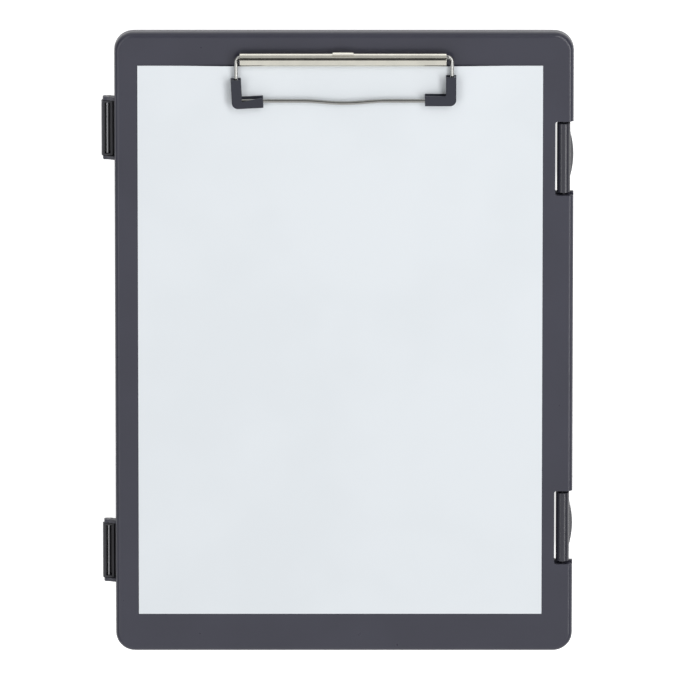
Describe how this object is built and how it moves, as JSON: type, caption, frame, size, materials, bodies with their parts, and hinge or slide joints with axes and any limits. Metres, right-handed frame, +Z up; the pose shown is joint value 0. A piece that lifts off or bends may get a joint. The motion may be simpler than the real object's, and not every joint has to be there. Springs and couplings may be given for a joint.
{
  "type": "storage clipboard box",
  "caption": "Flat storage box whose hinged lid is a clipboard: side hinges, barrel latches on the other side and a sprung wire clip holding a sheet.",
  "frame": {"origin": "centre of the tray's flat underside, on the surface that the box lies on", "axes": "+Z up through the writing face, +Y along the length towards the clip, +X towards the latches"},
  "size_m": [0.2448, 0.335, 0.0374],
  "materials": {
    "lid_plastic": "satin",
    "tray_plastic": "satin",
    "latch_plastic": "semi-gloss",
    "sleeve_plastic": "matte",
    "nickel": "bright nickel plate",
    "pin_steel": "drawn wire",
    "rivet_steel": "plated",
    "paper": "uncoated white"
  },
  "bodies": {
    "tray": {"tray": "tray_plastic"},
    "lid": {"lid": "lid_plastic", "hinge_pin_upper": "pin_steel", "hinge_pin_lower": "pin_steel", "latch_pin_upper": "pin_steel", "latch_pin_lower": "pin_steel", "clip_base": "nickel", "clip_rivets": "rivet_steel", "rivet_washers": "rivet_steel", "paper_sheets": "paper"},
    "latch_upper": {"latch_upper": "latch_plastic"},
    "latch_lower": {"latch_lower": "latch_plastic"},
    "bail": {"clip_bail": "nickel", "corner_sleeve_left": "sleeve_plastic", "corner_sleeve_right": "sleeve_plastic"}
  },
  "joints": [
    {"name": "lid_hinge", "type": "hinge", "parent": "tray", "child": "lid", "pos_m": [-0.1226, 0, 0.021], "axis": [0, -1, 0], "range_deg": [0, 180]},
    {"name": "latch_upper_pivot", "type": "hinge", "parent": "lid", "child": "latch_upper", "pos_m": [0.11385, 0.1, 0.0263], "axis": [0, -1, 0], "range_deg": [0, 110]},
    {"name": "latch_lower_pivot", "type": "hinge", "parent": "lid", "child": "latch_lower", "pos_m": [0.11385, -0.1, 0.0263], "axis": [0, -1, 0], "range_deg": [0, 110]},
    {"name": "bail_pivot", "type": "hinge", "parent": "lid", "child": "bail", "pos_m": [0, 0.15599, 0.0343], "axis": [-1, 0, 0], "range_deg": [0, 95], "stiffness_Nm_per_rad": 0.12, "springref_deg": -68.75}
  ]
}
